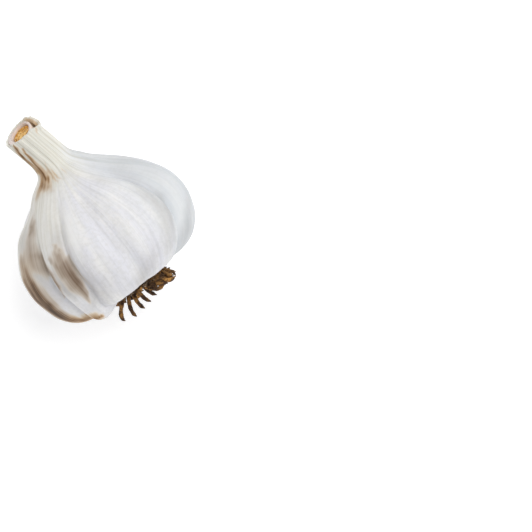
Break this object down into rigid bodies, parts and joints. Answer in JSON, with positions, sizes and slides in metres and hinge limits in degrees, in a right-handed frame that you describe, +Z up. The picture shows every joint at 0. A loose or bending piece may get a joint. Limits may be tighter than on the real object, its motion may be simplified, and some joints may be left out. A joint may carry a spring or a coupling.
{
  "type": "garlic bulb",
  "caption": "Whole garlic bulb lying on its side: papery skin over swelling cloves, a bent neck cut short over its rolled sheath and stem core, and a tuft of trimmed dry roots.",
  "frame": {"origin": "centre of the small flat spot on the underside of the widest clove, where the bulb rests", "axes": "+Z up; +X is the level heading of the bulb's own axis, which rises 20 degrees from the root plate at -X to the neck at +X; the neck's bend leans it a little further towards +Y and up"},
  "size_m": [0.0641, 0.055, 0.0532],
  "materials": {
    "bulb_skin": "satin",
    "sheath_skin": "matte",
    "dried_stem": "matte",
    "dried_root": "matte"
  },
  "bodies": {
    "root": {"bulb": "bulb_skin", "inner_sheath": "sheath_skin", "stem_core": "dried_stem", "root_tuft": "dried_root"}
  },
  "joints": []
}
